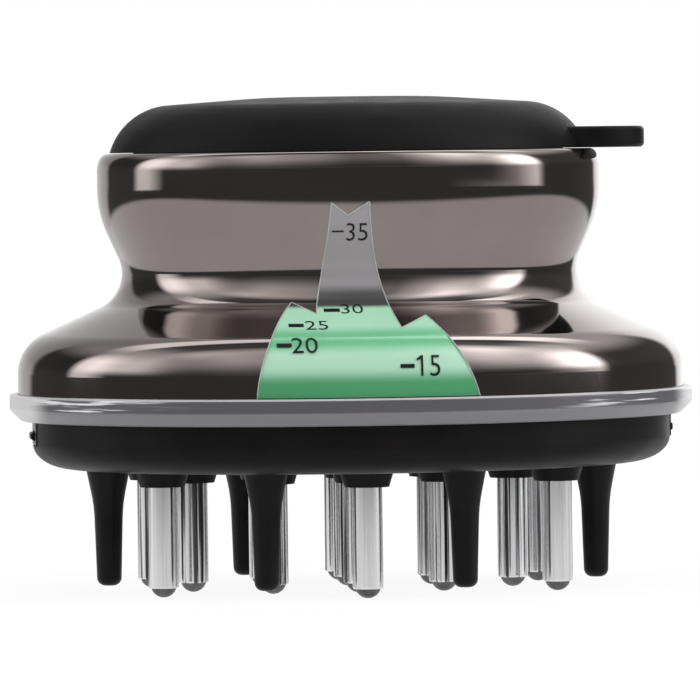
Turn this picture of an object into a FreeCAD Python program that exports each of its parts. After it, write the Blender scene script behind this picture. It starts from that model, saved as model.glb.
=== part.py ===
import FreeCAD
import Part
import math
import os

# Hand-held scalp applicator: an oval reservoir with a level window and a silicone filler cap, on a black
# base that carries sprung roller-ball dispensing tubes and soft massage teeth.
# Millimetres. The origin lies under the middle of the base, at the tips of the roller balls. +Z is up,
# +X runs along the oval towards the cap's pull tab, and the level window faces -Y.

# Oval plan: every outline is a half-length along X, squeezed along Y by one ratio.
PLAN_RATIO = 0.794
SEAM_TURN = 40.0

# Roller-ball tubes
TUBE_DIAMETER = 3.0
TUBE_WALL = 0.15
TUBE_EXPOSED = 11.58
TUBE_FIT = 0.03
TUBE_HEAD_FLANGE = 0.5
TUBE_HEAD_HEIGHT = 0.4
TUBE_HEAD_GAP = 0.1
TUBE_LIP_LAND = 0.03
BALL_PLAY = 0.05
BALL_CLEARANCE = 0.03
BALL_EXPOSED = 0.92
# Places over the base, as shares of the pattern's half-length and half-width
TUBE_SHARES = [
    (0.0, -1.0), (0.0, 1.0),
    (-0.8, -0.534), (0.8, -0.534), (-0.8, 0.534), (0.8, 0.534),
    (-0.656, 0.0), (0.656, 0.0),
    (-0.348, -0.37), (0.348, -0.37), (-0.348, 0.37), (0.348, 0.37),
    (0.0, -0.37), (0.0, 0.37),
]

# Valve springs behind the balls
SPRING_PLAY = 0.225
SPRING_WIRE = 0.25
SPRING_TURNS = 8
SPRING_END_GAP = 0.02

# Massage teeth
TOOTH_TIP_RISE = 0.8
TOOTH_TIP_DIAMETER = 2.4
TOOTH_TIP_ROUND = 0.8
TOOTH_NECK_DIAMETER = 2.9
TOOTH_NECK_DROP = 3.7
TOOTH_NECK_ROUND = 15.0
TOOTH_ROOT_DIAMETER = 4.4
TOOTH_SHANK_DIAMETER = 2.6
TOOTH_SHANK_LENGTH = 1.85
TOOTH_FIT = 0.05
TOOTH_SHARES = [
    (-0.4, -0.89), (0.4, -0.89), (-0.4, 0.89), (0.4, 0.89),
    (-1.0, 0.0), (1.0, 0.0),
]

# Base housing
BASE_INSET = 1.4
BASE_HEIGHT = 4.78
BASE_CORNER_LENGTH = 3.9
BASE_CORNER_HEIGHT = 2.5
BASE_FLOOR = 2.2
BASE_WALL = 1.55
BOSS_HEIGHT = 1.6
BOSS_WALL = 0.67
BOSS_FLARE = 0.5
SPIGOT_RISE = 1.9
GASKET_HEIGHT = 0.9
GASKET_DEPTH = 0.85
GASKET_CLEARANCE = 0.05
GASKET_DROP = 0.55

# Tube plate and its screws
PLATE_THICKNESS = 1.2
PLATE_EDGE_GAP = 3.4
PATTERN_END_MARGIN = 2.1
PATTERN_SIDE_MARGIN = 6.16
FEED_HOLE_LEDGE = 0.075
SCREW_DIAMETER = 1.6
SCREW_LENGTH = 3.0
SCREW_HEAD_DIAMETER = 2.9
SCREW_HEAD_HEIGHT = 0.7
SCREW_SOCKET = 1.0
SCREW_SOCKET_DEPTH = 0.5
SCREW_FIT = 0.03
SCREW_SHARES = [(-0.557, -0.603), (0.557, -0.603), (-0.557, 0.603), (0.557, 0.603)]

# Clear collar
COLLAR_PROUD = 0.85
COLLAR_HEIGHT = 2.67
COLLAR_SHELF = 1.02
COLLAR_CHAMFER = 1.15
COLLAR_CHAMFER_ROUND = 0.5
COLLAR_UPPER_ROUND = 0.3
COLLAR_FIT = 0.05
SPIGOT_FIT = 0.1

# Snap lugs of the collar and the release buttons behind them
LUG_THICKNESS = 0.7
LUG_INSET = 0.1
LUG_WIDTH = 6.0
LUG_DROP = 2.35
LUG_GAP = 0.1
LUG_FRAME_SIDE = 1.15
LUG_FRAME_END = 0.35
LUG_FRAME_TOP = 0.95
BUTTON_PROUD = 0.3
BUTTON_GAP = 0.15
BUTTON_TRAVEL = 1.1
BUTTON_FLANGE_THICKNESS = 0.95
BUTTON_FLANGE_LAP = 0.6
BUTTON_FLANGE_LAP_UP = 0.3
BUTTON_ROUND = 0.25
BUTTON_BACK_WALL = 1.5

# Reservoir body: the rises follow each other from the collar's shelf up to the rim
BODY_HALF_LENGTH = 33.2
BODY_WALL = 1.6
SHOULDER_RISE = 6.43
SHOULDER_ROUND = 5.0
WAIST_INSET = 3.57
WAIST_RISE = 5.27
WAIST_ROUND = 3.7
NECK_HALF_LENGTH = 25.1
NECK_RISE = 7.79
NECK_ROUND = 11.0
RIM_RISE = 5.91
RIM_ROUND = 1.3
MOUTH_WALL = 3.5
INNER_WAIST_INSET = 0.38
INNER_SHOULDER_ROUND = 3.4
INNER_WAIST_ROUND = 5.0

# Level window: a jagged hill outline on the front wall. Its foot runs along the collar's top. Each corner is an
# X from the middle and a drop below the waist or, for the top corners, below the rim. A bow is how far a side
# stands out from the straight line between its corners.
WINDOW_GAP = 0.04
WINDOW_ABOVE_COLLAR = 0.05
WINDOW_LEFT_FOOT_X = -11.45
WINDOW_LEFT_HILL_BOW = 0.91
WINDOW_LEFT_PEAK = (-7.45, 0.9)
WINDOW_LEFT_NOTCH = (-5.25, 2.0)
WINDOW_LEFT_SIDE_BOW = -0.19
WINDOW_TOP_LEFT_PEAK = (-3.6, 5.0)
WINDOW_TOP_NOTCH = (-2.0, 6.25)
WINDOW_TOP_RIGHT_PEAK = (0.1, 4.9)
WINDOW_RIGHT_SIDE_BOW = -0.62
WINDOW_RIGHT_NOTCH = (2.75, 3.4)
WINDOW_RIGHT_PEAK = (5.35, 2.25)
WINDOW_RIGHT_HILL_BOW = 0.62
WINDOW_RIGHT_FOOT_X = 10.05

# Liquid in the reservoir
LIQUID_BELOW_WAIST = 1.3
LIQUID_GAP = 0.1

# Filler cap
CAP_HEIGHT = 5.35
CAP_SEAT_GAP = 0.05
CAP_CROWN_THICKNESS = 2.6
CAP_SHOULDER_INSET = 1.5
CAP_SHOULDER_DROP = 0.95
CAP_SIDE_LAND = 0.32
CAP_FLAT_HALF_LENGTH = 8.0
CAP_FLAT_ROUND = 80.0
CAP_SKIRT_DEPTH = 4.0
CAP_SKIRT_WALL = 1.5
CAP_SKIRT_GAP = 0.15
CAP_BEAD = 0.1
CAP_BEAD_HEIGHT = 0.8
CAP_BEAD_PITCH = 1.6
CAP_BEADS = 2
CAP_TAB_PROUD = 4.3
CAP_TAB_WIDTH = 14.0
CAP_TAB_THICKNESS = 2.1
CAP_TAB_ROUND = 0.45
CAP_TAB_CORNER = 5.0

# Diameters worked out from the tube
TUBE_BORE = TUBE_DIAMETER - 2 * TUBE_WALL
TUBE_HOLE = TUBE_DIAMETER + 2 * TUBE_FIT
TUBE_HEAD_DIAMETER = TUBE_DIAMETER + 2 * TUBE_HEAD_FLANGE
BALL_DIAMETER = TUBE_BORE - 2 * BALL_PLAY
SPRING_MEAN_DIAMETER = TUBE_BORE - 2 * SPRING_PLAY - SPRING_WIRE
FEED_HOLE_DIAMETER = SPRING_MEAN_DIAMETER - SPRING_WIRE - 2 * FEED_HOLE_LEDGE
BOSS_TIP_DIAMETER = TUBE_HOLE + 2 * BOSS_WALL
BOSS_ROOT_DIAMETER = BOSS_TIP_DIAMETER + 2 * BOSS_FLARE

# Heights worked out from the sizes above
TUBE_LIP_Z = BALL_EXPOSED
BALL_CENTRE_Z = BALL_DIAMETER / 2
BASE_BOTTOM_Z = TUBE_LIP_Z + TUBE_EXPOSED
FLOOR_Z = BASE_BOTTOM_Z + BASE_FLOOR
COLLAR_BOTTOM_Z = BASE_BOTTOM_Z + BASE_HEIGHT
SHELF_Z = COLLAR_BOTTOM_Z + COLLAR_SHELF
COLLAR_TOP_Z = COLLAR_BOTTOM_Z + COLLAR_HEIGHT
SPIGOT_TOP_Z = SHELF_Z + SPIGOT_RISE
PLATE_TOP_Z = FLOOR_Z + PLATE_THICKNESS
SHOULDER_Z = SHELF_Z + SHOULDER_RISE
WAIST_Z = SHOULDER_Z + WAIST_RISE
NECK_Z = WAIST_Z + NECK_RISE
BODY_TOP_Z = NECK_Z + RIM_RISE
LUG_BOTTOM_Z = COLLAR_BOTTOM_Z - LUG_DROP
LUG_WINDOW_BOTTOM_Z = LUG_BOTTOM_Z + LUG_FRAME_END
LUG_WINDOW_TOP_Z = COLLAR_BOTTOM_Z - LUG_FRAME_TOP
BUTTON_BOTTOM_Z = LUG_WINDOW_BOTTOM_Z + BUTTON_GAP
BUTTON_TOP_Z = LUG_WINDOW_TOP_Z - BUTTON_GAP
BACK_WALL_TOP_Z = COLLAR_BOTTOM_Z + BUTTON_FLANGE_LAP_UP
LIQUID_TOP_Z = WAIST_Z - LIQUID_BELOW_WAIST
CAP_BOTTOM_Z = BODY_TOP_Z + CAP_SEAT_GAP
CAP_TOP_Z = CAP_BOTTOM_Z + CAP_HEIGHT

# Lengths worked out from the sizes above; what lies inside the wall shares one inner ratio
INNER_HALF_LENGTH = BODY_HALF_LENGTH - BODY_WALL
INNER_RATIO = (BODY_HALF_LENGTH * PLAN_RATIO - BODY_WALL) / INNER_HALF_LENGTH
WAIST_HALF_LENGTH = NECK_HALF_LENGTH - WAIST_INSET
INNER_WAIST_HALF_LENGTH = WAIST_HALF_LENGTH - INNER_WAIST_INSET
MOUTH_HALF_LENGTH = NECK_HALF_LENGTH - MOUTH_WALL
BASE_HALF_LENGTH = BODY_HALF_LENGTH - BASE_INSET
COLLAR_HALF_LENGTH = BODY_HALF_LENGTH + COLLAR_PROUD
COLLAR_HOLE = INNER_HALF_LENGTH - GASKET_CLEARANCE
SPIGOT_HALF_LENGTH = COLLAR_HOLE - SPIGOT_FIT
BASE_INNER_HALF_LENGTH = SPIGOT_HALF_LENGTH - BASE_WALL
PLATE_HALF_LENGTH = BASE_INNER_HALF_LENGTH - PLATE_EDGE_GAP
PATTERN_HALF_LENGTH = PLATE_HALF_LENGTH - PATTERN_END_MARGIN
PATTERN_HALF_WIDTH = PLATE_HALF_LENGTH * INNER_RATIO - PATTERN_SIDE_MARGIN
LUG_OUTER_X = BASE_HALF_LENGTH - LUG_INSET
LUG_INNER_X = LUG_OUTER_X - LUG_THICKNESS
BUTTON_OUTER_X = BASE_HALF_LENGTH + BUTTON_PROUD
BUTTON_FLANGE_X = LUG_INNER_X - BUTTON_GAP
BUTTON_BACK_X = BUTTON_FLANGE_X - BUTTON_FLANGE_THICKNESS
BUTTON_POCKET_X = BUTTON_BACK_X - BUTTON_TRAVEL - LUG_GAP
BUTTON_HALF_WIDTH = LUG_WIDTH / 2 - LUG_FRAME_SIDE - BUTTON_GAP
CAP_TAB_REACH = NECK_HALF_LENGTH + CAP_TAB_PROUD


def pattern_places(shares):
    """Places (x, y) over the base from shares of the pattern's half-length and half-width."""
    return [(x * PATTERN_HALF_LENGTH, y * PATTERN_HALF_WIDTH) for x, y in shares]


TUBE_PLACES = pattern_places(TUBE_SHARES)
TOOTH_PLACES = pattern_places(TOOTH_SHARES)
SCREW_PLACES = pattern_places(SCREW_SHARES)

ORIGIN = FreeCAD.Vector(0, 0, 0)
UP = FreeCAD.Vector(0, 0, 1)
# Reach of a cutting tool past the piece it cuts
OVERRUN = 1.0
FAR = 100.0
QUARTER_ELLIPSE = 4 * (math.sqrt(2) - 1) / 3


def at(x, z):
    """Point of an outline in the XZ plane."""
    return FreeCAD.Vector(x, 0, z)


def rounded_edges(corners):
    """Edges round a closed outline of corners (x, z, round), each blended by a tangent arc of that radius."""
    count = len(corners)
    blends = []
    for index, (x, z, radius) in enumerate(corners):
        here = at(x, z)
        if radius == 0:
            blends.append((here, None, here))
            continue
        before = at(*corners[index - 1][:2]) - here
        after = at(*corners[(index + 1) % count][:2]) - here
        half_angle = before.getAngle(after) / 2
        before.normalize()
        after.normalize()
        reach = radius / math.tan(half_angle)
        bisector = (before + after).normalize()
        middle = here + bisector * (radius / math.sin(half_angle) - radius)
        blends.append((here + before * reach, middle, here + after * reach))
    edges = []
    for index, (first, middle, last) in enumerate(blends):
        if middle is not None:
            edges.append(Part.Arc(first, middle, last).toShape())
        following = blends[(index + 1) % count][0]
        if (following - last).Length > 1e-6:
            edges.append(Part.makeLine(last, following))
    return edges


def face_of(edges):
    return Part.Face(Part.Wire(edges))


def turned(face):
    """Round solid from a half outline."""
    return face.revolve(ORIGIN, UP, 360)


def oval(face, ratio):
    """Oval solid from a half outline, squeezed along Y. Its seam lies away from the fitted features."""
    solid = turned(face)
    solid.rotate(ORIGIN, UP, SEAM_TURN)
    squeeze = FreeCAD.Matrix()
    squeeze.scale(1, ratio, 1)
    return solid.transformGeometry(squeeze)


def oval_disc(half_length, ratio, bottom, top):
    corners = [(0, bottom, 0), (half_length, bottom, 0), (half_length, top, 0), (0, top, 0)]
    return oval(face_of(rounded_edges(corners)), ratio)


def oval_ring(inner, outer, ratio, bottom, top):
    corners = [(inner, bottom, 0), (outer, bottom, 0), (outer, top, 0), (inner, top, 0)]
    return oval(face_of(rounded_edges(corners)), ratio)


def cylinder(diameter, bottom, top, place=(0.0, 0.0)):
    return Part.makeCylinder(diameter / 2, top - bottom, FreeCAD.Vector(place[0], place[1], bottom))


def block(x_low, x_high, half_width, z_low, z_high):
    """Block centred on Y."""
    corner = FreeCAD.Vector(x_low, -half_width, z_low)
    return Part.makeBox(x_high - x_low, 2 * half_width, z_high - z_low, corner)


def placed(shape, place):
    copy = shape.copy()
    copy.translate(FreeCAD.Vector(place[0], place[1], 0))
    return copy


def on_left(shape):
    """The same piece at the -X end."""
    copy = shape.copy()
    copy.rotate(ORIGIN, UP, 180)
    return copy


def reservoir_core(inset, bottom):
    """Hollow of the reservoir from the given height up through the mouth, inset from its wall."""
    slope = WAIST_RISE / (BODY_HALF_LENGTH - WAIST_HALF_LENGTH)
    drop = (BODY_WALL + inset) * math.hypot(1, slope)
    shoulder_x = INNER_HALF_LENGTH - inset
    waist_x = INNER_WAIST_HALF_LENGTH - inset
    shoulder_z = SHOULDER_Z + (BODY_HALF_LENGTH - shoulder_x) * slope - drop
    waist_z = SHOULDER_Z + (BODY_HALF_LENGTH - waist_x) * slope - drop
    corners = [
        (0, bottom, 0),
        (shoulder_x, bottom, 0),
        (shoulder_x, shoulder_z, INNER_SHOULDER_ROUND),
        (waist_x, waist_z, INNER_WAIST_ROUND),
        (MOUTH_HALF_LENGTH - inset, BODY_TOP_Z, 0),
        (0, BODY_TOP_Z, 0),
    ]
    return oval(face_of(rounded_edges(corners)), INNER_RATIO)


def reservoir_wall():
    corners = [
        (0, SHELF_Z, 0),
        (BODY_HALF_LENGTH, SHELF_Z, 0),
        (BODY_HALF_LENGTH, SHOULDER_Z, SHOULDER_ROUND),
        (WAIST_HALF_LENGTH, WAIST_Z, WAIST_ROUND),
        (NECK_HALF_LENGTH, NECK_Z, NECK_ROUND),
        (NECK_HALF_LENGTH, BODY_TOP_Z, RIM_ROUND),
        (0, BODY_TOP_Z, 0),
    ]
    outside = oval(face_of(rounded_edges(corners)), PLAN_RATIO)
    return outside.cut(reservoir_core(0, SHELF_Z))


def bowed(first, last, bow):
    """Arc between two points of an outline that stands out to the left of the way from first to last."""
    along = last - first
    across = at(-along.z, along.x).normalize()
    middle = (first + last) * 0.5 + across * bow
    return Part.Arc(first, middle, last).toShape()


def window_outline():
    """Wire of the level window in the XZ plane."""
    foot_z = COLLAR_TOP_Z + WINDOW_ABOVE_COLLAR

    def below_waist(corner):
        return at(corner[0], WAIST_Z - corner[1])

    def below_rim(corner):
        return at(corner[0], BODY_TOP_Z - corner[1])

    left_foot = at(WINDOW_LEFT_FOOT_X, foot_z)
    right_foot = at(WINDOW_RIGHT_FOOT_X, foot_z)
    left_peak = below_waist(WINDOW_LEFT_PEAK)
    left_notch = below_waist(WINDOW_LEFT_NOTCH)
    top_left = below_rim(WINDOW_TOP_LEFT_PEAK)
    top_notch = below_rim(WINDOW_TOP_NOTCH)
    top_right = below_rim(WINDOW_TOP_RIGHT_PEAK)
    right_notch = below_waist(WINDOW_RIGHT_NOTCH)
    right_peak = below_waist(WINDOW_RIGHT_PEAK)
    return Part.Wire([
        bowed(left_foot, left_peak, WINDOW_LEFT_HILL_BOW),
        Part.makeLine(left_peak, left_notch),
        bowed(left_notch, top_left, WINDOW_LEFT_SIDE_BOW),
        Part.makeLine(top_left, top_notch),
        Part.makeLine(top_notch, top_right),
        bowed(top_right, right_notch, WINDOW_RIGHT_SIDE_BOW),
        Part.makeLine(right_notch, right_peak),
        bowed(right_peak, right_foot, WINDOW_RIGHT_HILL_BOW),
        Part.makeLine(right_foot, left_foot),
    ])


def front_prism(wire):
    """Prism of an outline through the front half only."""
    return Part.Face(wire).extrude(FreeCAD.Vector(0, -FAR, 0))


def liquid():
    """Liquid over the tube plate, up to its level in the window."""
    sump = oval_disc(PLATE_HALF_LENGTH - LIQUID_GAP, INNER_RATIO, PLATE_TOP_Z + LIQUID_GAP, SPIGOT_TOP_Z)
    well = oval_disc(BASE_INNER_HALF_LENGTH - LIQUID_GAP, INNER_RATIO, BACK_WALL_TOP_Z + LIQUID_GAP,
                     SPIGOT_TOP_Z + BODY_WALL)
    chamber = reservoir_core(LIQUID_GAP, SPIGOT_TOP_Z + LIQUID_GAP)
    air = Part.makeBox(2 * FAR, 2 * FAR, FAR, FreeCAD.Vector(-FAR, -FAR, LIQUID_TOP_Z))
    return sump.fuse([well, chamber]).removeSplitter().cut(air)


def collar_lug():
    """Snap lug that hangs from the collar, with a window for the release button's nub."""
    half_width = LUG_WIDTH / 2
    tongue = block(LUG_INNER_X, COLLAR_HOLE + COLLAR_FIT, half_width, COLLAR_BOTTOM_Z, SHELF_Z)
    leg = block(LUG_INNER_X, LUG_OUTER_X, half_width, LUG_BOTTOM_Z, SHELF_Z)
    window = block(LUG_INNER_X - OVERRUN, LUG_OUTER_X + OVERRUN, half_width - LUG_FRAME_SIDE,
                   LUG_WINDOW_BOTTOM_Z, LUG_WINDOW_TOP_Z)
    return leg.fuse(tongue).removeSplitter().cut(window)


def clear_collar():
    """Collar ring with a shelf for the reservoir's foot and two snap lugs."""
    corners = [
        (0, COLLAR_BOTTOM_Z, 0),
        (COLLAR_HALF_LENGTH - COLLAR_CHAMFER, COLLAR_BOTTOM_Z, COLLAR_CHAMFER_ROUND),
        (COLLAR_HALF_LENGTH, COLLAR_BOTTOM_Z + COLLAR_CHAMFER, COLLAR_CHAMFER_ROUND),
        (COLLAR_HALF_LENGTH, COLLAR_TOP_Z, COLLAR_UPPER_ROUND),
        (0, COLLAR_TOP_Z, 0),
    ]
    rim = oval(face_of(rounded_edges(corners)), PLAN_RATIO)
    rebate = oval_disc(BODY_HALF_LENGTH + COLLAR_FIT, PLAN_RATIO, SHELF_Z, COLLAR_TOP_Z + OVERRUN)
    hole = oval_disc(COLLAR_HOLE, INNER_RATIO, COLLAR_BOTTOM_Z - OVERRUN, SHELF_Z + OVERRUN)
    ring = rim.cut(rebate).cut(hole)
    lug = collar_lug()
    return ring.fuse([lug, on_left(lug)]).removeSplitter()


def release_button():
    """Sprung button: a flange behind the collar's lug and a nub that shows through its window."""
    flange = block(BUTTON_BACK_X, BUTTON_FLANGE_X, BUTTON_HALF_WIDTH + BUTTON_FLANGE_LAP,
                   BUTTON_BOTTOM_Z - BUTTON_FLANGE_LAP_UP, BUTTON_TOP_Z + BUTTON_FLANGE_LAP_UP)
    nub = block(BUTTON_FLANGE_X - BUTTON_ROUND, BUTTON_OUTER_X, BUTTON_HALF_WIDTH,
                BUTTON_BOTTOM_Z, BUTTON_TOP_Z)
    front_edges = [edge for edge in nub.Edges
                   if all(vertex.X > BUTTON_OUTER_X - BUTTON_ROUND / 2 for vertex in edge.Vertexes)]
    nub = nub.makeFillet(BUTTON_ROUND, front_edges)
    return flange.fuse(nub).removeSplitter()


def button_pockets():
    """Room cut in the base for one lug, its button and the button's travel."""
    for_lug = block(LUG_INNER_X - LUG_GAP, COLLAR_HALF_LENGTH, LUG_WIDTH / 2 + LUG_GAP,
                    LUG_BOTTOM_Z - LUG_GAP, SHELF_Z + COLLAR_FIT)
    for_button = block(BUTTON_POCKET_X, LUG_INNER_X, BUTTON_HALF_WIDTH + BUTTON_FLANGE_LAP + LUG_GAP,
                       BUTTON_BOTTOM_Z - BUTTON_FLANGE_LAP_UP - LUG_GAP,
                       BUTTON_TOP_Z + BUTTON_FLANGE_LAP_UP + LUG_GAP)
    return for_lug.fuse(for_button)


def base_housing():
    """Moulded base: rounded pan, spigot into the collar, tube bosses, sockets and button pockets."""
    flat = BASE_HALF_LENGTH - BASE_CORNER_LENGTH
    corner_top = BASE_BOTTOM_Z + BASE_CORNER_HEIGHT
    corner = Part.BezierCurve()
    corner.setPoles([
        at(flat, BASE_BOTTOM_Z),
        at(flat + QUARTER_ELLIPSE * BASE_CORNER_LENGTH, BASE_BOTTOM_Z),
        at(BASE_HALF_LENGTH, corner_top - QUARTER_ELLIPSE * BASE_CORNER_HEIGHT),
        at(BASE_HALF_LENGTH, corner_top),
    ])
    pan_outline = [
        Part.makeLine(at(0, BASE_BOTTOM_Z), at(flat, BASE_BOTTOM_Z)),
        corner.toShape(),
        Part.makeLine(at(BASE_HALF_LENGTH, corner_top), at(BASE_HALF_LENGTH, COLLAR_BOTTOM_Z)),
        Part.makeLine(at(BASE_HALF_LENGTH, COLLAR_BOTTOM_Z), at(0, COLLAR_BOTTOM_Z)),
        Part.makeLine(at(0, COLLAR_BOTTOM_Z), at(0, BASE_BOTTOM_Z)),
    ]
    pan = oval(face_of(pan_outline), PLAN_RATIO)
    spigot = oval_disc(SPIGOT_HALF_LENGTH, INNER_RATIO, FLOOR_Z, SPIGOT_TOP_Z)
    inside = oval_disc(BASE_INNER_HALF_LENGTH, INNER_RATIO, FLOOR_Z, SPIGOT_TOP_Z + OVERRUN)
    groove_top = SPIGOT_TOP_Z - GASKET_DROP + GASKET_CLEARANCE
    groove_bottom = groove_top - GASKET_HEIGHT - 2 * GASKET_CLEARANCE
    groove = oval_ring(SPIGOT_HALF_LENGTH - GASKET_DEPTH, COLLAR_HALF_LENGTH, INNER_RATIO,
                       groove_bottom, groove_top)
    shell = pan.fuse(spigot).cut(inside).cut(groove)

    back_wall = block(BUTTON_POCKET_X - BUTTON_BACK_WALL, BASE_INNER_HALF_LENGTH + LUG_GAP,
                      LUG_WIDTH / 2 + LUG_GAP, FLOOR_Z, BACK_WALL_TOP_Z)
    bosses = []
    slope = (BOSS_ROOT_DIAMETER - BOSS_TIP_DIAMETER) / BOSS_HEIGHT
    for place in TUBE_PLACES:
        centre = FreeCAD.Vector(place[0], place[1], BASE_BOTTOM_Z - BOSS_HEIGHT)
        root_diameter = BOSS_ROOT_DIAMETER + slope * BASE_FLOOR / 2
        bosses.append(Part.makeCone(BOSS_TIP_DIAMETER / 2, root_diameter / 2,
                                    BOSS_HEIGHT + BASE_FLOOR / 2, centre))
    solid = shell.fuse([back_wall, on_left(back_wall)] + bosses)

    cuts = [button_pockets(), on_left(button_pockets())]
    for place in TUBE_PLACES:
        cuts.append(cylinder(TUBE_HOLE, BASE_BOTTOM_Z - BOSS_HEIGHT - OVERRUN, FLOOR_Z + OVERRUN, place))
        cuts.append(cylinder(TUBE_HEAD_DIAMETER + 2 * TUBE_HEAD_GAP, FLOOR_Z - TUBE_HEAD_HEIGHT,
                             FLOOR_Z + OVERRUN, place))
    for place in TOOTH_PLACES:
        cuts.append(cylinder(TOOTH_SHANK_DIAMETER + 2 * TOOTH_FIT, BASE_BOTTOM_Z - OVERRUN,
                             BASE_BOTTOM_Z + TOOTH_SHANK_LENGTH + TOOTH_FIT, place))
    for place in SCREW_PLACES:
        cuts.append(cylinder(SCREW_DIAMETER + 2 * SCREW_FIT, PLATE_TOP_Z - SCREW_LENGTH - SCREW_FIT,
                             FLOOR_Z + OVERRUN, place))
    return solid.cut(cuts)


def base_gasket():
    top = SPIGOT_TOP_Z - GASKET_DROP
    inner = SPIGOT_HALF_LENGTH - GASKET_DEPTH + GASKET_CLEARANCE
    return oval_ring(inner, INNER_HALF_LENGTH - GASKET_CLEARANCE, INNER_RATIO, top - GASKET_HEIGHT, top)


def screw(grow=0.0):
    """Countersunk screw under the plate's top, or its hole when grown by a fit."""
    shank = cylinder(SCREW_DIAMETER + 2 * grow, PLATE_TOP_Z - SCREW_LENGTH, PLATE_TOP_Z)
    head = Part.makeCone(SCREW_DIAMETER / 2 + grow, SCREW_HEAD_DIAMETER / 2 + grow, SCREW_HEAD_HEIGHT,
                         FreeCAD.Vector(0, 0, PLATE_TOP_Z - SCREW_HEAD_HEIGHT))
    return shank.fuse(head).removeSplitter()


def plate_screws():
    corners = []
    for index in range(7):
        angle = math.radians(60 * index)
        reach = SCREW_SOCKET / 2 / math.cos(math.radians(30))
        corners.append(FreeCAD.Vector(reach * math.cos(angle), reach * math.sin(angle), PLATE_TOP_Z))
    socket = Part.Face(Part.makePolygon(corners)).extrude(FreeCAD.Vector(0, 0, -SCREW_SOCKET_DEPTH))
    one = screw().cut(socket)
    return Part.makeCompound([placed(one, place) for place in SCREW_PLACES])


def tube_plate():
    plate = oval_disc(PLATE_HALF_LENGTH, INNER_RATIO, FLOOR_Z, PLATE_TOP_Z)
    holes = [cylinder(FEED_HOLE_DIAMETER, FLOOR_Z - OVERRUN, PLATE_TOP_Z + OVERRUN, place)
             for place in TUBE_PLACES]
    holes += [placed(screw(SCREW_FIT), place) for place in SCREW_PLACES]
    return plate.cut(holes)


def massage_tooth():
    tip = TOOTH_TIP_DIAMETER / 2
    root = TOOTH_ROOT_DIAMETER / 2
    shank = TOOTH_SHANK_DIAMETER / 2
    shank_top = BASE_BOTTOM_Z + TOOTH_SHANK_LENGTH
    corners = [
        (0, TOOTH_TIP_RISE, 0),
        (tip, TOOTH_TIP_RISE, TOOTH_TIP_ROUND),
        (TOOTH_NECK_DIAMETER / 2, BASE_BOTTOM_Z - TOOTH_NECK_DROP, TOOTH_NECK_ROUND),
        (root, BASE_BOTTOM_Z, 0),
        (shank, BASE_BOTTOM_Z, 0),
        (shank, shank_top, 0),
        (0, shank_top, 0),
    ]
    return turned(face_of(rounded_edges(corners)))


def dispensing_tube():
    """Drawn steel tube: flared head on the base floor, and a lip rolled in under the ball."""
    outer = TUBE_DIAMETER / 2
    bore = TUBE_BORE / 2
    head = TUBE_HEAD_DIAMETER / 2
    seat_radius = BALL_DIAMETER / 2 + BALL_CLEARANCE
    lip = math.sqrt(seat_radius ** 2 - (BALL_CENTRE_Z - TUBE_LIP_Z) ** 2)
    lip_outer = lip + TUBE_LIP_LAND
    turn = outer - lip_outer
    seat_angle = (math.asin((TUBE_LIP_Z - BALL_CENTRE_Z) / seat_radius)) / 2
    seat_middle = at(seat_radius * math.cos(seat_angle), BALL_CENTRE_Z + seat_radius * math.sin(seat_angle))
    neck_z = FLOOR_Z - TUBE_HEAD_HEIGHT
    turn_middle = at(lip_outer + turn * math.sin(math.radians(45)),
                     TUBE_LIP_Z + turn * (1 - math.cos(math.radians(45))))
    edges = [
        Part.makeLine(at(lip, TUBE_LIP_Z), at(lip_outer, TUBE_LIP_Z)),
        Part.Arc(at(lip_outer, TUBE_LIP_Z), turn_middle, at(outer, TUBE_LIP_Z + turn)).toShape(),
        Part.makeLine(at(outer, TUBE_LIP_Z + turn), at(outer, neck_z)),
        Part.makeLine(at(outer, neck_z), at(head, neck_z)),
        Part.makeLine(at(head, neck_z), at(head, FLOOR_Z)),
        Part.makeLine(at(head, FLOOR_Z), at(bore, FLOOR_Z)),
        Part.makeLine(at(bore, FLOOR_Z), at(bore, BALL_CENTRE_Z)),
        Part.makeLine(at(bore, BALL_CENTRE_Z), at(seat_radius, BALL_CENTRE_Z)),
        Part.Arc(at(seat_radius, BALL_CENTRE_Z), seat_middle, at(lip, TUBE_LIP_Z)).toShape(),
    ]
    return turned(face_of(edges))


def roller_ball():
    return Part.makeSphere(BALL_DIAMETER / 2, at(0, BALL_CENTRE_Z))


def valve_spring():
    """Coil between the ball and the tube plate: round wire in half turns, each tilted to climb half a pitch.
    A half turn leaves level where the next one starts, so the coil runs on smoothly."""
    coil_radius = SPRING_MEAN_DIAMETER / 2
    reach = (BALL_DIAMETER + SPRING_WIRE) / 2
    bottom = BALL_CENTRE_Z + math.sqrt(reach ** 2 - coil_radius ** 2) + SPRING_END_GAP
    top = FLOOR_Z - SPRING_WIRE / 2 - SPRING_END_GAP
    climb = (top - bottom) / (2 * SPRING_TURNS)
    turn_radius = math.hypot(coil_radius, climb / 2)
    tilt = math.degrees(math.atan2(climb / 2, coil_radius))
    halves = []
    for step in range(2 * SPRING_TURNS):
        half = Part.makeTorus(turn_radius, SPRING_WIRE / 2, ORIGIN, UP, 0, 360, 180)
        half.rotate(ORIGIN, UP, 180 * step)
        half.rotate(ORIGIN, FreeCAD.Vector(0, 1, 0), tilt * (-1) ** step)
        half.translate(FreeCAD.Vector(0, 0, bottom + (step + 0.5) * climb))
        halves.append(half)
    return halves[0].fuse(halves[1:])


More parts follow.
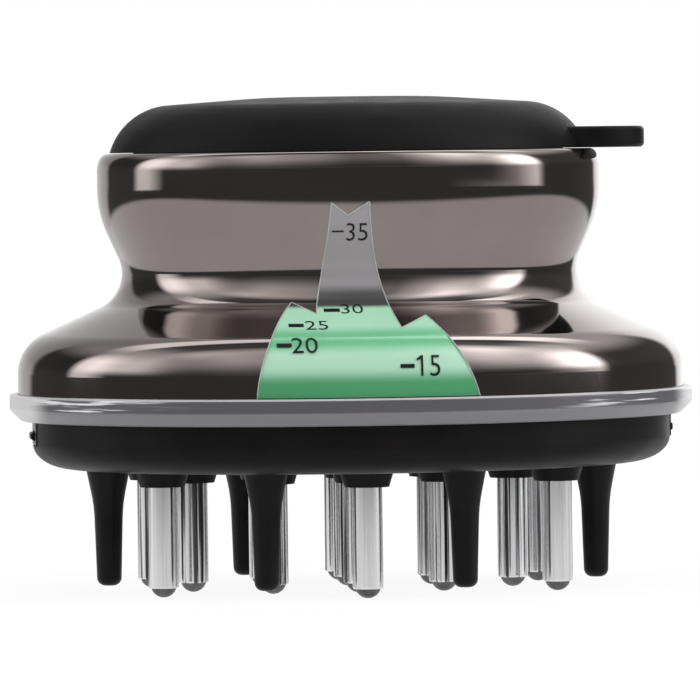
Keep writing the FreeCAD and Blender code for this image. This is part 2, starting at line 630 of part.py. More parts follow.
def cap_crown():
    """Domed crown of the cap over the reservoir's rim. Its shoulder round ends in a short land."""
    foot = at(NECK_HALF_LENGTH - RIM_ROUND, CAP_BOTTOM_Z)
    shoulder = at(foot.x - CAP_SHOULDER_INSET, CAP_TOP_Z - CAP_SHOULDER_DROP)
    flat = at(CAP_FLAT_HALF_LENGTH, CAP_TOP_Z)
    side = foot - shoulder
    shoulder_round = (side.Length - CAP_SIDE_LAND) * math.tan(side.getAngle(flat - shoulder) / 2)
    corners = [
        (0, CAP_BOTTOM_Z, 0),
        (foot.x, CAP_BOTTOM_Z, 0),
        (shoulder.x, shoulder.z, shoulder_round),
        (flat.x, CAP_TOP_Z, CAP_FLAT_ROUND),
        (0, CAP_TOP_Z, 0),
    ]
    return oval(face_of(rounded_edges(corners)), PLAN_RATIO)


def cap_plug():
    """Plug that fills the mouth, with sealing beads round it, and the half-length of its hollow."""
    draft = (MOUTH_HALF_LENGTH - INNER_WAIST_HALF_LENGTH) / (BODY_TOP_Z - WAIST_Z)
    bottom = BODY_TOP_Z - CAP_SKIRT_DEPTH
    top = CAP_BOTTOM_Z + CAP_HEIGHT / 2

    def outside(z):
        return MOUTH_HALF_LENGTH - CAP_SKIRT_GAP - draft * (BODY_TOP_Z - z)

    inside = outside(bottom) - CAP_SKIRT_WALL
    corners = [(0, bottom, 0), (outside(bottom), bottom, 0)]
    for bead in range(CAP_BEADS):
        low = bottom + CAP_BEAD_HEIGHT + bead * CAP_BEAD_PITCH
        middle = low + CAP_BEAD_HEIGHT / 2
        high = low + CAP_BEAD_HEIGHT
        corners += [(outside(low), low, 0), (outside(middle) + CAP_BEAD, middle, 0), (outside(high), high, 0)]
    corners += [(outside(CAP_BOTTOM_Z), CAP_BOTTOM_Z, 0), (outside(CAP_BOTTOM_Z), top, 0), (0, top, 0)]
    return oval(face_of(rounded_edges(corners)), INNER_RATIO), inside


def cap_tab():
    """Pull tab at the +X end, with a rounded plan and eased edges."""
    half_width = CAP_TAB_WIDTH / 2
    root_x = MOUTH_HALF_LENGTH - CAP_SKIRT_WALL / 2
    corners = [
        (root_x, -half_width, 0),
        (CAP_TAB_REACH, -half_width, CAP_TAB_CORNER),
        (CAP_TAB_REACH, half_width, CAP_TAB_CORNER),
        (root_x, half_width, 0),
    ]
    plan = face_of(rounded_edges(corners))
    plan.rotate(ORIGIN, FreeCAD.Vector(1, 0, 0), -90)
    tab = plan.extrude(FreeCAD.Vector(0, 0, CAP_TAB_THICKNESS))
    rims = [edge for edge in tab.Edges
            if edge.BoundBox.ZLength < 1e-6 and edge.BoundBox.XMax > root_x + OVERRUN]
    tab = tab.makeFillet(CAP_TAB_ROUND, rims)
    tab.translate(FreeCAD.Vector(0, 0, CAP_BOTTOM_Z))
    return tab


def filler_cap():
    plug, inside = cap_plug()
    recess = oval_disc(inside, INNER_RATIO, BODY_TOP_Z - CAP_SKIRT_DEPTH - OVERRUN,
                       CAP_TOP_Z - CAP_CROWN_THICKNESS)
    return cap_crown().fuse(plug).cut(recess).fuse(cap_tab()).removeSplitter()


def save(name, shape):
    shape.exportStep(f"parts/{name}.step")
    print(f"{name:20s} valid {shape.isValid()}  solids {len(shape.Solids)}  volume {shape.Volume:.2f}")


os.makedirs("parts", exist_ok=True)

wall = reservoir_wall()
outline = window_outline()
save("reservoir_body", wall.cut(front_prism(outline)))
save("level_window", wall.common(front_prism(outline.makeOffset2D(-WINDOW_GAP))))
save("liquid_fill", liquid())
save("filler_cap", filler_cap())
save("clear_collar", clear_collar())
save("base_housing", base_housing())
save("base_gasket", base_gasket())
save("tube_plate", tube_plate())
save("plate_screws", plate_screws())

button = release_button()
save("latch_button_right", button)
save("latch_button_left", on_left(button))

tooth = massage_tooth()
for number, place in enumerate(TOOTH_PLACES, start=1):
    save(f"massage_tooth_{number}", placed(tooth, place))

tube = dispensing_tube()
ball = roller_ball()
spring = valve_spring()
for number, place in enumerate(TUBE_PLACES, start=1):
    save(f"dispensing_tube_{number:02d}", placed(tube, place))
    save(f"roller_ball_{number:02d}", placed(ball, place))
    save(f"valve_spring_{number:02d}", placed(spring, place))
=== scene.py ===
import math
import bmesh
import bpy
from mathutils import Matrix, Vector


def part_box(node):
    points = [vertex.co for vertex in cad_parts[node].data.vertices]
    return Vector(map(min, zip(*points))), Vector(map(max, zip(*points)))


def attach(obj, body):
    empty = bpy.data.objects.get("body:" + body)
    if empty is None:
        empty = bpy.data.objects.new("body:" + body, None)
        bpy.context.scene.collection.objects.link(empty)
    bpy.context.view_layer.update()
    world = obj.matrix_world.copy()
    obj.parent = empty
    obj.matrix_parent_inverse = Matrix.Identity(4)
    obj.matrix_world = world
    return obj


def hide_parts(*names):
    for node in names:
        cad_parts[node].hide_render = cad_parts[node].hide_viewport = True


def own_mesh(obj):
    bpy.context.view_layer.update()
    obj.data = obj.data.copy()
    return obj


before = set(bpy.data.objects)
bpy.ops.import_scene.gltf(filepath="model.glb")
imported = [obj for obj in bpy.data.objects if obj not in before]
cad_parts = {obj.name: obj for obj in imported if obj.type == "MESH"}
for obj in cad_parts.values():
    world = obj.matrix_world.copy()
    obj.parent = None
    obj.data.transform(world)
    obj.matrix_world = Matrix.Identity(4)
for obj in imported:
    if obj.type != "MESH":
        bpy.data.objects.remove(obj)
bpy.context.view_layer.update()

# Reservoir body: one waisted oval shell in smoky plastic under a mirror coat, moulded on two cores that
# meet at the waist. It stands on the collar's shelf, bonded there, and its front wall is cut for the level
# window.

SMOKY_COAT = (0.226, 0.193, 0.184, 1.0)
SMOKY_COAT_THIN = (0.246, 0.211, 0.202, 1.0)
MM_PER_METRE = 1000.0
# Range of the grain group's noise that is spread over a finish's roughness, and over its two tones
BLEND_LOW = 0.12
BLEND_HIGH = 0.42
MOTTLE_LOW = 0.35
MOTTLE_HIGH = 0.65


def add_node(tree, kind, inputs=None, **settings):
    """Node with its settings, and inputs by name or number that are either linked from a socket or set."""
    new = tree.nodes.new(kind)
    for setting, value in settings.items():
        setattr(new, setting, value)
    for key, value in (inputs or {}).items():
        if isinstance(value, bpy.types.NodeSocket):
            tree.links.new(value, new.inputs[key])
        else:
            new.inputs[key].default_value = value
    return new


def calculated(tree, operation, first, second=None):
    """Result of a Math node on one or two values or sockets."""
    inputs = {0: first}
    if second is not None:
        inputs[1] = second
    return add_node(tree, "ShaderNodeMath", inputs, operation=operation).outputs[0]


def blended(tree, share, first, second):
    """Colour between two colours, each a value or a socket."""
    mix = add_node(tree, "ShaderNodeMix", {"Factor": share, 6: first, 7: second}, data_type="RGBA")
    return mix.outputs[2]


def moulding_grain_group():
    """Shader group for moulded and drawn surfaces: fine grain, and a slow mottle from handling."""
    group = bpy.data.node_groups.new("moulding grain", "ShaderNodeTree")
    sockets = group.interface
    sockets.new_socket("Place", in_out="INPUT", socket_type="NodeSocketVector")
    for name in ("Grains per mm", "Mottle per mm", "Smoothest", "Roughest"):
        sockets.new_socket(name, in_out="INPUT", socket_type="NodeSocketFloat")
    for name in ("Height", "Mottle", "Roughness"):
        sockets.new_socket(name, in_out="OUTPUT", socket_type="NodeSocketFloat")
    given = add_node(group, "NodeGroupInput").outputs
    in_mm = add_node(group, "ShaderNodeVectorMath", {
        0: given["Place"], 1: (MM_PER_METRE,) * 3}, operation="MULTIPLY")
    grain = add_node(group, "ShaderNodeTexNoise", {
        "Vector": in_mm.outputs[0], "Scale": given["Grains per mm"], "Detail": 3.0, "Roughness": 0.6})
    mottle = add_node(group, "ShaderNodeTexNoise", {
        "Vector": in_mm.outputs[0], "Scale": given["Mottle per mm"], "Detail": 4.0, "Roughness": 0.55})
    blend = calculated(group, "MULTIPLY", grain.outputs[0], mottle.outputs[0])
    roughness = add_node(group, "ShaderNodeMapRange", {
        "Value": blend, "From Min": BLEND_LOW, "From Max": BLEND_HIGH, "To Min": given["Smoothest"],
        "To Max": given["Roughest"]})
    add_node(group, "NodeGroupOutput", {
        "Height": grain.outputs[0], "Mottle": mottle.outputs[0], "Roughness": roughness.outputs[0]})
    return group


MOULDING_GRAIN = moulding_grain_group()


def new_finish(name, grains, mottles, smoothest, roughest, bump, **constants):
    """Material with a Principled shader and the moulding grain in its roughness and bump."""
    material = bpy.data.materials.new(name)
    material.use_nodes = True
    tree = material.node_tree
    tree.nodes.clear()
    place = add_node(tree, "ShaderNodeTexCoord").outputs["Object"]
    grain = add_node(tree, "ShaderNodeGroup", {
        "Place": place, "Grains per mm": grains, "Mottle per mm": mottles, "Smoothest": smoothest,
        "Roughest": roughest}, node_tree=MOULDING_GRAIN)
    relief = add_node(tree, "ShaderNodeBump", {
        "Height": grain.outputs["Height"], "Strength": 1.0, "Distance": bump})
    shader = add_node(tree, "ShaderNodeBsdfPrincipled", {
        "Roughness": grain.outputs["Roughness"], "Normal": relief.outputs[0]})
    for socket, value in constants.items():
        shader.inputs[socket.replace("_", " ")].default_value = value
    add_node(tree, "ShaderNodeOutputMaterial", {"Surface": shader.outputs[0]})
    return material, tree, shader, grain


def object_place(tree):
    """A finish's place on its piece, in metres."""
    return next(node for node in tree.nodes if node.type == "TEX_COORD").outputs["Object"]


def tint(tree, shader, grain, dark, light):
    """Base colour that drifts between two tones with the grain group's mottle."""
    drift = add_node(tree, "ShaderNodeMapRange", {
        "Value": grain.outputs["Mottle"], "From Min": MOTTLE_LOW, "From Max": MOTTLE_HIGH})
    tone = blended(tree, drift.outputs[0], dark, light)
    tree.links.new(tone, shader.inputs["Base Color"])
    return tone


def dress(material, *nodes):
    """Gives CAD nodes a finish in place of their plain one."""
    for name in nodes:
        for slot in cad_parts[name].material_slots:
            slot.material = material


smoky_mirror, tree, shader, grain = new_finish(
    "smoky mirror plastic", grains=6.0, mottles=0.12, smoothest=0.045, roughest=0.095, bump=0.0000001,
    Metallic=1.0, Coat_Weight=0.5, Coat_Roughness=0.03)
tint(tree, shader, grain, SMOKY_COAT, SMOKY_COAT_THIN)

BODY_LOW, BODY_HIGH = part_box("reservoir_body")
PLAN_RATIO = BODY_HIGH[1] / BODY_HIGH[0]
BODY_HALF = BODY_HIGH[0] * MM_PER_METRE
BODY_FOOT = BODY_LOW[2] * MM_PER_METRE
BODY_TOP = BODY_HIGH[2] * MM_PER_METRE
BODY_WALL = 1.6
SHOULDER_RISE = 6.43
WAIST_RISE = 5.27
NECK_RISE = 7.79
NECK_HALF = 25.1
WAIST_DEPTH = 3.57
NECK_WALL = 3.5
WAIST_WALL = 0.38
SHOULDER_ROUND = 4.3
WAIST_ROUND = 3.7
NECK_ROUND = 11.0
INNER_WAIST_ROUND = 5.0
INNER_SHOULDER_ROUND = 3.4
RIM_INSET = 1.0
RIM_DROP = 1.8
SHOULDER_Z = BODY_FOOT + SHOULDER_RISE
WAIST_Z = SHOULDER_Z + WAIST_RISE
NECK_Z = WAIST_Z + NECK_RISE
WAIST_HALF = NECK_HALF - WAIST_DEPTH
MOUTH_HALF = NECK_HALF - NECK_WALL
INNER_HALF = BODY_HALF - BODY_WALL
INNER_WAIST_HALF = WAIST_HALF - WAIST_WALL
INNER_RATIO = (BODY_HALF * PLAN_RATIO - BODY_WALL) / INNER_HALF
WALL_CORNERS = [
    (BODY_HALF, BODY_FOOT, 0.0),
    (BODY_HALF, SHOULDER_Z, SHOULDER_ROUND),
    (WAIST_HALF, WAIST_Z, WAIST_ROUND),
    (NECK_HALF, NECK_Z, NECK_ROUND),
    (NECK_HALF, BODY_TOP - RIM_DROP, 0.0),
]
ARC_STEP = math.radians(2.0)
RIM_STEPS = 24
PLAN_STEPS = 320


def rounded_outline(corners):
    """Points (half-length, height) along corners (half-length, height, round), with arcs at the rounds."""
    points = []
    for index, (x, z, radius) in enumerate(corners):
        here = Vector((x, z))
        if radius == 0.0:
            points.append(here)
            continue
        before = (Vector(corners[index - 1][:2]) - here).normalized()
        after = (Vector(corners[index + 1][:2]) - here).normalized()
        half_angle = before.angle(after) / 2
        centre = here + (before + after).normalized() * (radius / math.sin(half_angle))
        reach = radius / math.tan(half_angle)
        start = here + before * reach - centre
        sweep = start.angle_signed(here + after * reach - centre)
        count = max(3, math.ceil(abs(sweep) / ARC_STEP))
        points += [centre + Matrix.Rotation(-sweep * step / count, 2) @ start for step in range(count + 1)]
    return points


def rim_outline():
    """Points over the rim, a quarter ellipse from the wall to the cap's foot."""
    points = []
    for step in range(1, RIM_STEPS + 1):
        angle = math.pi / 2 * step / RIM_STEPS
        points.append(Vector((NECK_HALF - RIM_INSET * (1 - math.cos(angle)),
                              BODY_TOP - RIM_DROP * (1 - math.sin(angle)))))
    return points


def inner_outline():
    """Points down the hollow from the mouth to the foot, a wall's thickness inside the slope."""
    slope = (WAIST_Z - SHOULDER_Z) / (BODY_HALF - WAIST_HALF)
    drop = BODY_WALL * math.hypot(1, slope)
    return rounded_outline([
        (MOUTH_HALF, BODY_TOP, 0.0),
        (INNER_WAIST_HALF, SHOULDER_Z + (BODY_HALF - INNER_WAIST_HALF) * slope - drop, INNER_WAIST_ROUND),
        (INNER_HALF, SHOULDER_Z + (BODY_HALF - INNER_HALF) * slope - drop, INNER_SHOULDER_ROUND),
        (INNER_HALF, BODY_FOOT, 0.0),
    ])


def oval_shell(rings):
    """Closed mesh in metres through rings (half-length, height, plan ratio), the last to the first again."""
    shape = bmesh.new()
    loops = []
    for half, z, ratio in rings:
        loop = []
        for step in range(PLAN_STEPS):
            angle = math.tau * step / PLAN_STEPS
            place = Vector((half * math.cos(angle), ratio * half * math.sin(angle), z))
            loop.append(shape.verts.new(place / MM_PER_METRE))
        loops.append(loop)
    for low, high in zip(loops, loops[1:] + loops[:1]):
        for step in range(PLAN_STEPS):
            following = (step + 1) % PLAN_STEPS
            shape.faces.new((low[step], low[following], high[following], high[step]))
    return shape


WALL = rounded_outline(WALL_CORNERS)
body_rings = [(point.x, point.y, PLAN_RATIO) for point in WALL + rim_outline()]
body_rings += [(point.x, point.y, INNER_RATIO) for point in inner_outline()]
body_mesh = bpy.data.meshes.new("reservoir_shell")
body_shape = oval_shell(body_rings)
body_shape.to_mesh(body_mesh)
body_shape.free()
body_mesh.materials.append(smoky_mirror)

# Level window: a jagged clear panel moulded into the front wall, hazy inside, with the liquid standing
# behind its lower half. Its colour is painted by height: the liquid's green and the haze, with light and
# dark belts over them that are painted reflections. A pale line shows where the two plastics meet, and the
# scale is printed on the outside.

LEAN_STEP = 0.02


def between(value, known, wanted):
    """Value read off a polyline: known and wanted are lists in step, known rising."""
    for index in range(1, len(known)):
        if value <= known[index]:
            share = (value - known[index - 1]) / (known[index] - known[index - 1])
            return wanted[index - 1] + share * (wanted[index] - wanted[index - 1])
    return wanted[-1]


WALL_HEIGHTS = [point.y for point in WALL]
WALL_HALVES = [point.x for point in WALL]
WALL_RUNS = [0.0]
for low, high in zip(WALL, WALL[1:]):
    WALL_RUNS.append(WALL_RUNS[-1] + math.hypot((high.x - low.x) * PLAN_RATIO, high.y - low.y))


def on_wall(x, z, proud=0.0):
    """Point on the front of the wall in metres, standing proud of it by a distance in millimetres."""
    half = between(z, WALL_HEIGHTS, WALL_HALVES)
    y = -PLAN_RATIO * math.sqrt(half * half - x * x)
    half_above = between(z + LEAN_STEP, WALL_HEIGHTS, WALL_HALVES)
    y_above = -PLAN_RATIO * math.sqrt(half_above * half_above - x * x)
    normal = Vector((x * PLAN_RATIO ** 2, y, 0.0)).normalized()
    lean = (y_above - y) / LEAN_STEP
    normal = Vector((normal.x, normal.y, lean)).normalized()
    return (Vector((x, y, z)) + normal * proud) / MM_PER_METRE


def climbed(z, rise):
    """Height reached from a height by climbing along the wall's outline."""
    run = between(z, WALL_HEIGHTS, WALL_RUNS) + rise
    return between(run, WALL_RUNS, WALL_HEIGHTS)


WINDOW_FOOT_RISE = 1.7
WINDOW_FOOT_Z = BODY_FOOT + WINDOW_FOOT_RISE
# Corners (x, height, bow of the edge to the next corner) from the left foot over the top to the right foot
WINDOW_CORNERS = [
    (-11.45, WINDOW_FOOT_Z, 0.91),
    (-7.45, WAIST_Z - 0.9, 0.0),
    (-5.25, WAIST_Z - 2.0, -0.19),
    (-3.6, BODY_TOP - 5.0, 0.0),
    (-2.0, BODY_TOP - 6.25, 0.0),
    (0.1, BODY_TOP - 4.9, -0.62),
    (2.75, WAIST_Z - 3.4, 0.0),
    (5.35, WAIST_Z - 2.25, 0.62),
    (10.05, WINDOW_FOOT_Z, 0.0),
]
WINDOW_EDGE = 0.11
WINDOW_EDGE_STEP = 0.2
BEAD_SIDES = 10
SHARP_ANGLE = math.radians(35.0)
HAZE_UPPER = (0.272, 0.25, 0.264, 1.0)
HAZE_DARK_REFLECTION = (0.05, 0.05, 0.05, 1.0)
GREEN_UPPER_REFLECTION = (0.36, 0.635, 0.455, 1.0)
GREEN_LOWER_REFLECTION = (0.345, 0.575, 0.425, 1.0)
GREEN_MIDDLE = (0.13, 0.415, 0.22, 1.0)
GREEN_DEEP = (0.065, 0.275, 0.122, 1.0)
# Tones of the window by height above its foot: the liquid's green, darkest at the foot, with two paler
# belts that are painted reflections, and the haze over it, which darkens down to a dark belt just above the
# surface, a painted reflection as well
WINDOW_TONES_AND_REFLECTIONS = [
    (0.0, GREEN_DEEP), (1.3, GREEN_DEEP), (3.0, GREEN_LOWER_REFLECTION), (4.0, GREEN_LOWER_REFLECTION), (5.4, GREEN_MIDDLE),
    (5.9, GREEN_MIDDLE), (7.0, GREEN_UPPER_REFLECTION), (8.4, GREEN_UPPER_REFLECTION), (8.8, HAZE_DARK_REFLECTION), (9.7, HAZE_DARK_REFLECTION),
    (11.0, HAZE_UPPER),
]
PALE_EDGE = (0.40, 0.41, 0.40, 1.0)
PALE_EDGE_WORN = (0.34, 0.3485, 0.34, 1.0)


def colour_ramp(tree, share, stops, interpolation="LINEAR"):
    """Colour from a share, by a list of (share, colour)."""
    ramp = add_node(tree, "ShaderNodeValToRGB", {"Fac": share})
    ramp.color_ramp.interpolation = interpolation
    elements = ramp.color_ramp.elements
    elements.remove(elements[0])
    for index, (position, colour) in enumerate(stops):
        element = elements[0] if index == 0 else elements.new(position)
        element.position = position
        element.color = colour
    return ramp.outputs[0]


hazy_window, tree, shader, grain = new_finish(
    "hazy window plastic", grains=5.0, mottles=0.2, smoothest=0.12, roughest=0.2, bump=0.0000002,
    IOR=1.5)
height = add_node(tree, "ShaderNodeSeparateXYZ", {0: object_place(tree)}).outputs["Z"]
share_up = add_node(tree, "ShaderNodeMapRange", {
    "Value": height, "From Min": WINDOW_FOOT_Z / MM_PER_METRE, "From Max": BODY_TOP / MM_PER_METRE})
painted_belts = [(rise / (BODY_TOP - WINDOW_FOOT_Z), tone) for rise, tone in WINDOW_TONES_AND_REFLECTIONS]
# Painted reflections: the window's light and dark belts are painted into its base colour by height
tree.links.new(colour_ramp(tree, share_up.outputs[0], painted_belts, "EASE"), shader.inputs["Base Color"])
dress(hazy_window, "level_window")


def window_path():
    """Points (x, height) along the window's edge from its left foot to its right foot, with its bows."""
    points = []
    for (x, z, bow), (next_x, next_z, _) in zip(WINDOW_CORNERS, WINDOW_CORNERS[1:]):
        along = Vector((next_x - x, next_z - z))
        across = Vector((-along.y, along.x)).normalized()
        count = math.ceil(along.length / WINDOW_EDGE_STEP)
        for step in range(count):
            share = step / count
            place = Vector((x, z)) + along * share + across * bow * 4 * share * (1 - share)
            points.append((place.x, place.y))
    points.append(WINDOW_CORNERS[-1][:2])
    return points


def bead_tree():
    """Geometry Nodes: a round bead swept along the object's edges."""
    tree = bpy.data.node_groups.new("bead along a line", "GeometryNodeTree")
    sockets = tree.interface
    sockets.new_socket("Geometry", in_out="INPUT", socket_type="NodeSocketGeometry")
    sockets.new_socket("Bead width", in_out="INPUT", socket_type="NodeSocketFloat")
    sockets.new_socket("Finish", in_out="INPUT", socket_type="NodeSocketMaterial")
    sockets.new_socket("Geometry", in_out="OUTPUT", socket_type="NodeSocketGeometry")
    given = add_node(tree, "NodeGroupInput").outputs
    line = add_node(tree, "GeometryNodeMeshToCurve", {"Mesh": given["Geometry"]})
    radius = calculated(tree, "MULTIPLY", given["Bead width"], 0.5)
    ring = add_node(tree, "GeometryNodeCurvePrimitiveCircle", {"Resolution": BEAD_SIDES, "Radius": radius})
    bead = add_node(tree, "GeometryNodeCurveToMesh", {
        "Curve": line.outputs[0], "Profile Curve": ring.outputs[0], "Fill Caps": True})
    whole = add_node(tree, "GeometryNodeRealizeInstances", {0: bead.outputs[0]})
    finished = add_node(tree, "GeometryNodeSetMaterial", {
        "Geometry": whole.outputs[0], "Material": given["Finish"]})
    add_node(tree, "NodeGroupOutput", {0: finished.outputs[0]})
    return tree


def grown(name, mesh, tree, values):
    """Plain mesh from a Geometry Nodes tree on a source mesh, with the tree's named inputs set."""
    source = bpy.data.objects.new(name, mesh)
    bpy.context.collection.objects.link(source)
    modifier = source.modifiers.new("grow", "NODES")
    modifier.node_group = tree
    for item in tree.interface.items_tree:
        if item.in_out == "INPUT" and item.name in values:
            modifier[item.identifier] = values[item.name]
    seen = source.evaluated_get(bpy.context.evaluated_depsgraph_get())
    result = bpy.data.meshes.new_from_object(seen)
    bpy.data.objects.remove(source)
    return result


def piece(name, mesh, body):
    """Smooth-shaded object for a finished mesh, riding on a body."""
    for polygon in mesh.polygons:
        polygon.use_smooth = True
    mesh.set_sharp_from_angle(angle=SHARP_ANGLE)
    obj = bpy.data.objects.new(name, mesh)
    bpy.context.collection.objects.link(obj)
    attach(obj, body)
    return obj


def window_cutter():
    """Prism through the front wall with the window's outline."""
    corners = window_path()
    far, near = 2 * BODY_LOW[1], BODY_LOW[1] / 4
    shape = bmesh.new()
    front = [shape.verts.new((x / MM_PER_METRE, far, z / MM_PER_METRE)) for x, z in corners]
    back = [shape.verts.new((x / MM_PER_METRE, near, z / MM_PER_METRE)) for x, z in corners]
    shape.faces.new(front)
    shape.faces.new(back)
    for index in range(len(corners)):
        following = (index + 1) % len(corners)
        shape.faces.new((front[index], front[following], back[following], back[index]))
    bmesh.ops.recalc_face_normals(shape, faces=shape.faces)
    mesh = bpy.data.meshes.new("window cutter")
    shape.to_mesh(mesh)
    shape.free()
    return bpy.data.objects.new("window cutter", mesh)


def cut_by(mesh, cutter):
    """The mesh with the cutter's solid taken out of it."""
    source = bpy.data.objects.new("uncut", mesh)
    for obj in (source, cutter):
        bpy.context.collection.objects.link(obj)
    modifier = source.modifiers.new("cut", "BOOLEAN")
    modifier.operation = "DIFFERENCE"
    modifier.solver = "EXACT"
    modifier.object = cutter
    result = bpy.data.meshes.new_from_object(source.evaluated_get(bpy.context.evaluated_depsgraph_get()))
    for obj in (source, cutter):
        bpy.data.objects.remove(obj)
    return result


reservoir = piece("reservoir_shell", cut_by(body_mesh, window_cutter()), "root")
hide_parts("reservoir_body")

pale_seam, tree, shader, grain = new_finish(
    "pale window seam", grains=8.0, mottles=0.5, smoothest=0.25, roughest=0.4, bump=0.000003)
tint(tree, shader, grain, PALE_EDGE, PALE_EDGE_WORN)
edge_points = [on_wall(x, z) for x, z in window_path()]
edge_line = bpy.data.meshes.new("window edge line")
edge_line.from_pydata(edge_points, [(index, index + 1) for index in range(len(edge_points) - 1)], [])
edge_mesh = grown("window edge source", edge_line, bead_tree(), {
    "Bead width": WINDOW_EDGE / MM_PER_METRE, "Finish": pale_seam})
piece("level_window_edge", edge_mesh, "root")

# Graduations: plain ticks and numbers pad-printed on the window and the wall in dark ink. Each stands on
# its own height and runs up along the curve of the wall, so the ones on the shoulder look flat from the
# front.

STROKE_THINNING = -0.008
INK_THICKNESS = 0.03
INK_STEP = 0.2
INK_DIVISIONS = 5
INK_MERGE = 0.0005
NUMBER_CURVE_STEPS = 6
# The bar of a one ends within this share of the number's width. Its flag is given in thicknesses of that
# bar.
ONE_BAR = 0.4
FLAG_REACH = 1.9
FLAG_THICKNESS = 1.35
FLAG_DROP = 2.2
INK = (0.004, 0.006, 0.005, 1.0)
INK_WORN = (0.009, 0.013, 0.011, 1.0)
# Number: its left end, width, foot and height, then its tick's ends, middle height and thickness
GRADUATIONS = {
    "35": (-2.14, 2.06, 35.0, 1.8, -3.54, -2.38, 35.92, 0.16),
    "30": (-2.82, 2.12, 27.99, 1.6, -4.48, -2.94, 28.3, 0.6),
    "25": (-6.49, 2.15, 26.52, 1.6, -8.07, -6.64, 26.92, 0.6),
    "20": (-8.05, 2.46, 24.36, 1.9, -9.47, -8.05, 25.10, 0.45),
    "15": (3.85, 2.27, 22.0, 2.05, 2.25, 3.62, 23.0, 0.38),
}

printed_ink, tree, shader, grain = new_finish(
    "printed ink", grains=10.0, mottles=1.2, smoothest=0.45, roughest=0.6, bump=0.000002,
    Specular_IOR_Level=0.2)
tint(tree, shader, grain, INK, INK_WORN)


def laid_on_wall(shape, left, foot):
    """Moves a flat print's vertices (along, up, thickness in millimetres) onto the wall."""
    for vertex in shape.verts:
        along, up, thick = vertex.co
        vertex.co = on_wall(left + along, climbed(foot, up), thick)


def cut_fine(shape):
    """Divides a print's long edges, so that it can follow the wall."""
    for _ in range(INK_DIVISIONS):
        long_edges = [edge for edge in shape.edges if edge.calc_length() > INK_STEP]
        if not long_edges:
            break
        bmesh.ops.subdivide_edges(shape, edges=long_edges, cuts=1)
        bmesh.ops.triangulate(shape, faces=[face for face in shape.faces if len(face.verts) > 3])


def flagged_one(shape):
    """Gives the font's plain bar of a one its flag: a short stroke from the bar's head down to the left."""
    head = max(vertex.co.y for vertex in shape.verts)
    bar = [vertex for vertex in shape.verts if vertex.co.x < ONE_BAR * max(v.co.x for v in shape.verts)]
    left = min(vertex.co.x for vertex in bar)
    right = max(vertex.co.x for vertex in bar)
    thick = right - left
    tip = left - FLAG_REACH * thick
    under = head - FLAG_THICKNESS * thick
    outline = [(right, head), (left, head), (tip, under), (tip, head - FLAG_DROP * thick), (left, under),
               (right, under)]
    low = min(vertex.co.z for vertex in shape.verts)
    high = max(vertex.co.z for vertex in shape.verts)
    back = [shape.verts.new((x, y, low)) for x, y in outline]
    front = [shape.verts.new((x, y, high)) for x, y in outline]
    shape.faces.new(back)
    shape.faces.new(front)
    for index in range(len(outline)):
        following = (index + 1) % len(outline)
        shape.faces.new((back[index], back[following], front[following], front[index]))


def number_print(words, left, width, foot, height):
    """Mesh of a printed number with its left foot at a place on the wall."""
    letters = bpy.data.curves.new("graduation", "FONT")
    letters.body = words
    letters.extrude = INK_THICKNESS / 2
    letters.offset = STROKE_THINNING
    letters.resolution_u = NUMBER_CURVE_STEPS
    source = bpy.data.objects.new("graduation", letters)
    bpy.context.collection.objects.link(source)
    flat = bpy.data.meshes.new_from_object(source.evaluated_get(bpy.context.evaluated_depsgraph_get()))
    bpy.data.objects.remove(source)
    shape = bmesh.new()
    shape.from_mesh(flat)
    bpy.data.meshes.remove(flat)
    if words.startswith("1"):
        flagged_one(shape)
    low_x = min(vertex.co.x for vertex in shape.verts)
    low_y = min(vertex.co.y for vertex in shape.verts)
    wide = max(vertex.co.x for vertex in shape.verts) - low_x
    tall = max(vertex.co.y for vertex in shape.verts) - low_y
    for vertex in shape.verts:
        x, y, z = vertex.co
        vertex.co = ((x - low_x) * width / wide, (y - low_y) * height / tall, z + INK_THICKNESS / 2)
    bmesh.ops.remove_doubles(shape, verts=shape.verts, dist=INK_MERGE)
    bmesh.ops.triangulate(shape, faces=shape.faces)
    cut_fine(shape)
    laid_on_wall(shape, left, foot)
    return shape


def tick_print(left, right, height, thickness):
    """Mesh of a printed tick, centred on its height."""
    shape = bmesh.new()
    size = (right - left, thickness, INK_THICKNESS)
    bmesh.ops.create_cube(shape, size=1.0)
    for vertex in shape.verts:
        vertex.co = [(part + 0.5) * length for part, length in zip(vertex.co, size)]
    bmesh.ops.triangulate(shape, faces=shape.faces)
    cut_fine(shape)
    laid_on_wall(shape, left, climbed(height, -thickness / 2))
    return shape


for words, (left, width, foot, height, *tick) in GRADUATIONS.items():
    whole = bmesh.new()
    for shape in (number_print(words, left, width, foot, height), tick_print(*tick)):
        part = bpy.data.meshes.new("print part")
        shape.to_mesh(part)
        shape.free()
        whole.from_mesh(part)
        bpy.data.meshes.remove(part)
    bmesh.ops.recalc_face_normals(whole, faces=whole.faces)
    print_mesh = bpy.data.meshes.new("graduation_" + words)
    whole.to_mesh(print_mesh)
    whole.free()
    print_mesh.materials.append(printed_ink)
    piece("graduation_" + words, print_mesh, "root")

# Liquid: the green tonic in the reservoir, seen from above once the cap is off. Its surface lies level just
# under the 30 mark.

LIQUID_BRIGHT = (0.16, 0.52, 0.29, 1.0)
LIQUID_DARK = (0.09, 0.38, 0.19, 1.0)

green_tonic, tree, shader, grain = new_finish(
    "green tonic", grains=0.8, mottles=0.15, smoothest=0.03, roughest=0.07, bump=0.00002, IOR=1.34)
tint(tree, shader, grain, LIQUID_DARK, LIQUID_BRIGHT)
dress(green_tonic, "liquid_fill")

# Filler cap: a soft silicone plug with a low domed crown and a pull tab, moulded in one. Its skirt pushes
# into the reservoir's mouth and seals there with two beads.

